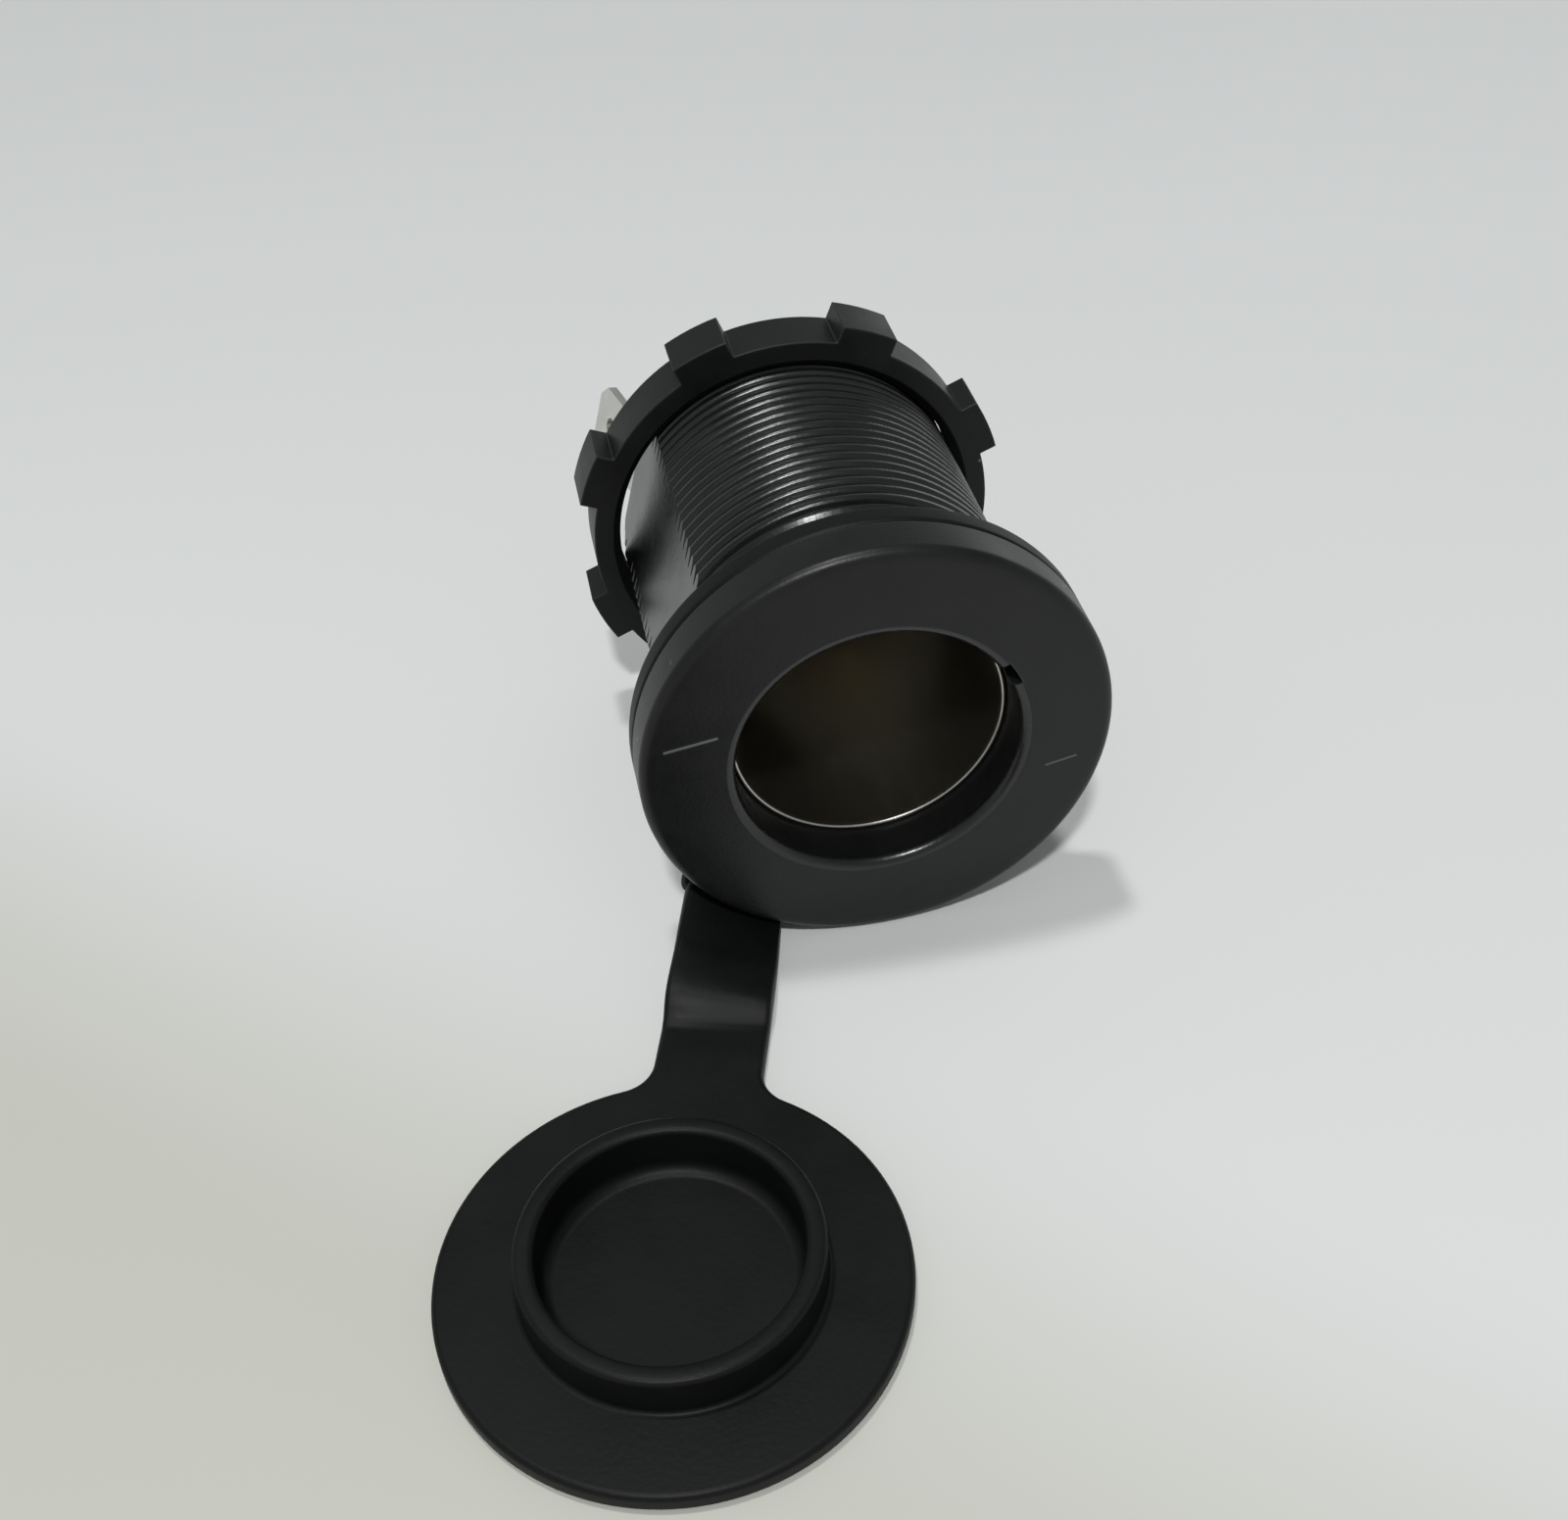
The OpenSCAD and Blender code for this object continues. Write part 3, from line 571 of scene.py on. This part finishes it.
for v in bm.verts:
    t = strap_start + (strap_end - strap_start) * v.co.z
    across, along = strap_across(min(t, strap_end - 0.001))
    thick = strap_t + (cap_t - strap_t) * ease((t - thicken_at) / thicken_l)
    out = tab_out + t * (past_tab if t > 0 else inside_tab)
    spare = max(0, tab_fillet - max(0, out))
    widened = 1 + (tab_fillet - math.sqrt(tab_fillet ** 2 - spare ** 2)) / (strap_w / 2)
    high = v.co.y * thick / strap_t + (thick - strap_t) / 2
    v.co = (strap_point(t) + across * v.co.x * widened + along.cross(across) * high) / 1000
    v.co.z = max(v.co.z, table_z / 1000)
bmesh.ops.recalc_face_normals(bm, faces=bm.faces)
strap = new_piece(bm, "rubber_strap", [rubber], sharp=50)
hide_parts("cap_strap")
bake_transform(strap)

# Cap: a round brim that covers the flange's face, with a hollow plug that holds
# in the sleeve and a neck that widens into the brim with a fillet on each side.
# The fillets end on the brim at the angle touch from a line across the cap.
brim_edge, neck_half, neck_fillet = 0.45, strap_w / 2, 3.0
plug_r, plug_top, plug_land, plug_foot, plug_edge = 10.8, 5.0, 0.4, 0.35, 0.45
cup_r, cup_floor, cup_corner = 9.3, 0.8, 1.0
fillet_x = neck_half + neck_fillet
fillet_y = math.sqrt((cap_r + neck_fillet) ** 2 - fillet_x ** 2)
touch = math.degrees(math.atan2(fillet_y, fillet_x))
bm = bmesh.new()
outline = []
for k in range(121):
    a = math.radians(180 - touch + (180 + 2 * touch) * k / 120)
    outline.append((cap_r * math.cos(a), cap_r * math.sin(a)))
for k in range(1, 13):
    a = math.radians(180 + touch - touch * k / 12)
    outline.append((fillet_x + neck_fillet * math.cos(a), fillet_y + neck_fillet * math.sin(a)))
outline += [(neck_half, cap_r + neck_out), (-neck_half, cap_r + neck_out)]
for k in range(12):
    a = math.radians(-touch * k / 12)
    outline.append((-fillet_x + neck_fillet * math.cos(a), fillet_y + neck_fillet * math.sin(a)))
base = bm.faces.new([bm.verts.new((x / 1000, y / 1000, 0)) for x, y in outline])
top = bmesh.ops.extrude_face_region(bm, geom=[base])["geom"]
bmesh.ops.translate(bm, verts=only_verts(top), vec=(0, 0, cap_t / 1000))
neck_end = (cap_r + neck_out - 0.01) / 1000
level_edges = [e for e in bm.edges if abs(e.verts[0].co.z - e.verts[1].co.z) < 1e-7]
rims = [e for e in level_edges if any(v.co.y < neck_end for v in e.verts)]
bmesh.ops.bevel(bm, geom=rims, offset=brim_edge / 1000, segments=4, profile=0.5,
                affect="EDGES", material=-1)
top = [f for f in bm.faces if len(f.verts) > 50 and f.calc_center_median().z > cap_t / 2000]
bmesh.ops.delete(bm, geom=top, context="FACES_ONLY")
plug = bmesh.new()
points = [(plug_r + plug_land, cap_t), (plug_r, cap_t), (plug_r, plug_top)]
points += [(cup_r, plug_top), (cup_r, cup_floor), (0, cup_floor)]
verts = [plug.verts.new((r / 1000, 0, z / 1000)) for r, z in points]
for pair in zip(verts, verts[1:]):
    plug.edges.new(pair)
round_corners(plug, verts[1:2], plug_foot)
round_corners(plug, verts[2:4], plug_edge)
round_corners(plug, verts[4:5], cup_corner, segments=6)
bmesh.ops.spin(plug, geom=plug.verts[:] + plug.edges[:], axis=(0, 0, 1), angle=math.tau, steps=160,
               use_merge=True)
bmesh.ops.remove_doubles(plug, verts=plug.verts, dist=1e-6)
joined(bm, plug)
bmesh.ops.triangle_fill(bm, edges=[e for e in bm.edges if e.is_boundary], use_beauty=True)
bmesh.ops.rotate(bm, verts=bm.verts, matrix=Matrix.Rotation(-strap_swing, 3, "Z"))
bmesh.ops.translate(bm, verts=bm.verts, vec=cap_at / 1000)
cap = finish_piece(bm, "rubber_cap", [rubber], "cap", "cap")

# Contact sleeve: a drawn brass cup, nickel-plated, that touches the plug's side
# springs. Its lip is painted paler than the rest of the cup, a painted highlight on its bright edge. The
# marks of drawing run lengthwise, and are drawn coarser than real ones so that they show.
lip_from, lip_to = 0.2, 0.6
marks_mm, marks_depth_mm, scale_along = 0.4, 0.03, 0.06
nickel, tree, shader, place = new_material("nickel_plate_drawn", Metallic=1.0)
lip = add_node(tree, "ShaderNodeSeparateXYZ", {}, {"Vector": place}).outputs["Y"]
# Painted highlight: the lip's first half millimetre is painted paler than the rest of the cup.
lip_highlight_band = {"From Min": (sleeve_y + lip_from) / 1000, "From Max": (sleeve_y + lip_to) / 1000}
lip_painted_highlight = add_node(tree, "ShaderNodeMapRange", lip_highlight_band, {"Value": lip}).outputs["Result"]
stops = [(0.0, "#c2bfb7"), (1.0, "#aaa69c")]
tone = add_node(tree, "ShaderNodeValToRGB", {"stops": stops}, {"Fac": lip_painted_highlight})
tree.links.new(tone.outputs["Color"], shader.inputs["Base Color"])
lengthwise = add_node(tree, "ShaderNodeMapping", {"Scale": (1, scale_along, 1)}, {"Vector": place})
fine = {"Scale": 1000 / marks_mm, "Detail": 3.0}
links = {"Vector": lengthwise.outputs["Vector"]}
drawn = add_node(tree, "ShaderNodeTexNoise", fine, links).outputs["Fac"]
gloss = add_node(tree, "ShaderNodeMapRange", {"To Min": 0.26, "To Max": 0.38}, {"Value": drawn})
tree.links.new(gloss.outputs["Result"], shader.inputs["Roughness"])
relief = {"Strength": 0.04, "Distance": marks_depth_mm / 1000}
bump = add_node(tree, "ShaderNodeBump", relief, {"Height": drawn})
tree.links.new(bump.outputs["Normal"], shader.inputs["Normal"])
sleeve_r, sleeve_wall, lip_edge, outer_corner, inner_corner = 10.75, 0.35, 0.16, 2.5, 2.2
outer_r, floor_y = sleeve_r + sleeve_wall, sleeve_end - sleeve_wall
cup = [(sleeve_r, sleeve_y), (outer_r, sleeve_y), (outer_r, sleeve_end)]
cup += [(0, sleeve_end), (0, floor_y), (sleeve_r, floor_y)]
bm = bmesh.new()
turned(bm, cup, [(0, lip_edge), (1, lip_edge), (2, outer_corner), (5, inner_corner)])
sleeve = finish_piece(bm, "drawn_sleeve", [nickel], "socket", "contact_sleeve")


# Contact stack and terminals: these keep their solid shapes. The disc is plated,
# the centre rivet and the positive blade are plain brass, the earth blade and its
# rivet are tinned, and the bush is vulcanised fibre, matt brown in thin layers.
def stamped_sheet(name, cloud_mm, dark, light, smooth, dull):
    """Stamped sheet metal, whose colour and gloss drift with its crystals or tarnish."""
    material, tree, shader, place = new_material(name, Metallic=1.0)
    soft = {"Scale": 1000 / cloud_mm, "Detail": 4.0}
    cloud = add_node(tree, "ShaderNodeTexNoise", soft, {"Vector": place}).outputs["Fac"]
    tone = add_node(tree, "ShaderNodeValToRGB", {"stops": [(0.0, dark), (1.0, light)]}, {"Fac": cloud})
    tree.links.new(tone.outputs["Color"], shader.inputs["Base Color"])
    gloss = add_node(tree, "ShaderNodeMapRange", {"To Min": smooth, "To Max": dull}, {"Value": cloud})
    tree.links.new(gloss.outputs["Result"], shader.inputs["Roughness"])
    return material


tinned = stamped_sheet("tinned_brass_stamped", 2, "#c2c1bb", "#e6e5df", smooth=0.22, dull=0.4)
brass = stamped_sheet("brass_sheet_stamped", 3, "#a88c50", "#cdb274", smooth=0.28, dull=0.45)
fibre, tree, shader, place = new_material("vulcanised_fibre_turned", Roughness=0.75)
layers_mm = 1.2
soft = {"Scale": 1000 / layers_mm, "Detail": 4.0}
paper = add_node(tree, "ShaderNodeTexNoise", soft, {"Vector": place}).outputs["Fac"]
stops = [(0.0, "#5c3b28"), (1.0, "#774f38")]
tone = add_node(tree, "ShaderNodeValToRGB", {"stops": stops}, {"Fac": paper})
tree.links.new(tone.outputs["Color"], shader.inputs["Base Color"])
dressed = {"insulating_bush": fibre, "contact_disc": nickel, "centre_rivet": brass,
           "positive_terminal": brass, "earth_terminal": tinned, "earth_rivet": tinned}
for name, material in dressed.items():
    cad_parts[name].material_slots[0].material = material
